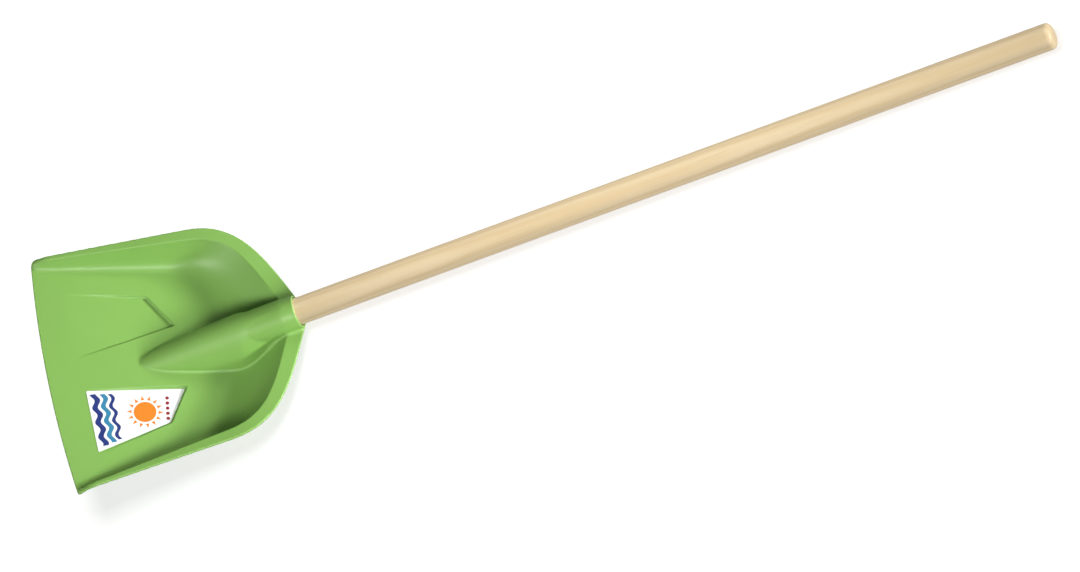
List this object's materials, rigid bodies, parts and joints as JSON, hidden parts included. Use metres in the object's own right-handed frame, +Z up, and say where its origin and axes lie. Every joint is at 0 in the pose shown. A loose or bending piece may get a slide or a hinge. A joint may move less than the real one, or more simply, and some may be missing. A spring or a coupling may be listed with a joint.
{
  "type": "children's scoop shovel",
  "caption": "Light scoop shovel for a child: a wide moulded pan with raised sides and a central spine, on a long round wooden handle.",
  "frame": {"origin": "on the ground, under the middle of the shovel as it lies on its heel and the end of its handle", "axes": "+X across the pan, +Y from the pan's front edge to the end of the handle, +Z up"},
  "size_m": [0.2108, 0.8578, 0.0589],
  "materials": {
    "moulded_plastic": "injection-moulded polypropylene, apple green, satin",
    "turned_wood": "pale turned wood, sanded, clear lacquer",
    "plated_steel": "zinc-plated steel",
    "printed_film": null
  },
  "bodies": {
    "root": {"scoop": "moulded_plastic", "handle": "turned_wood", "fixing_screw": "plated_steel", "label": "printed_film"}
  },
  "joints": []
}
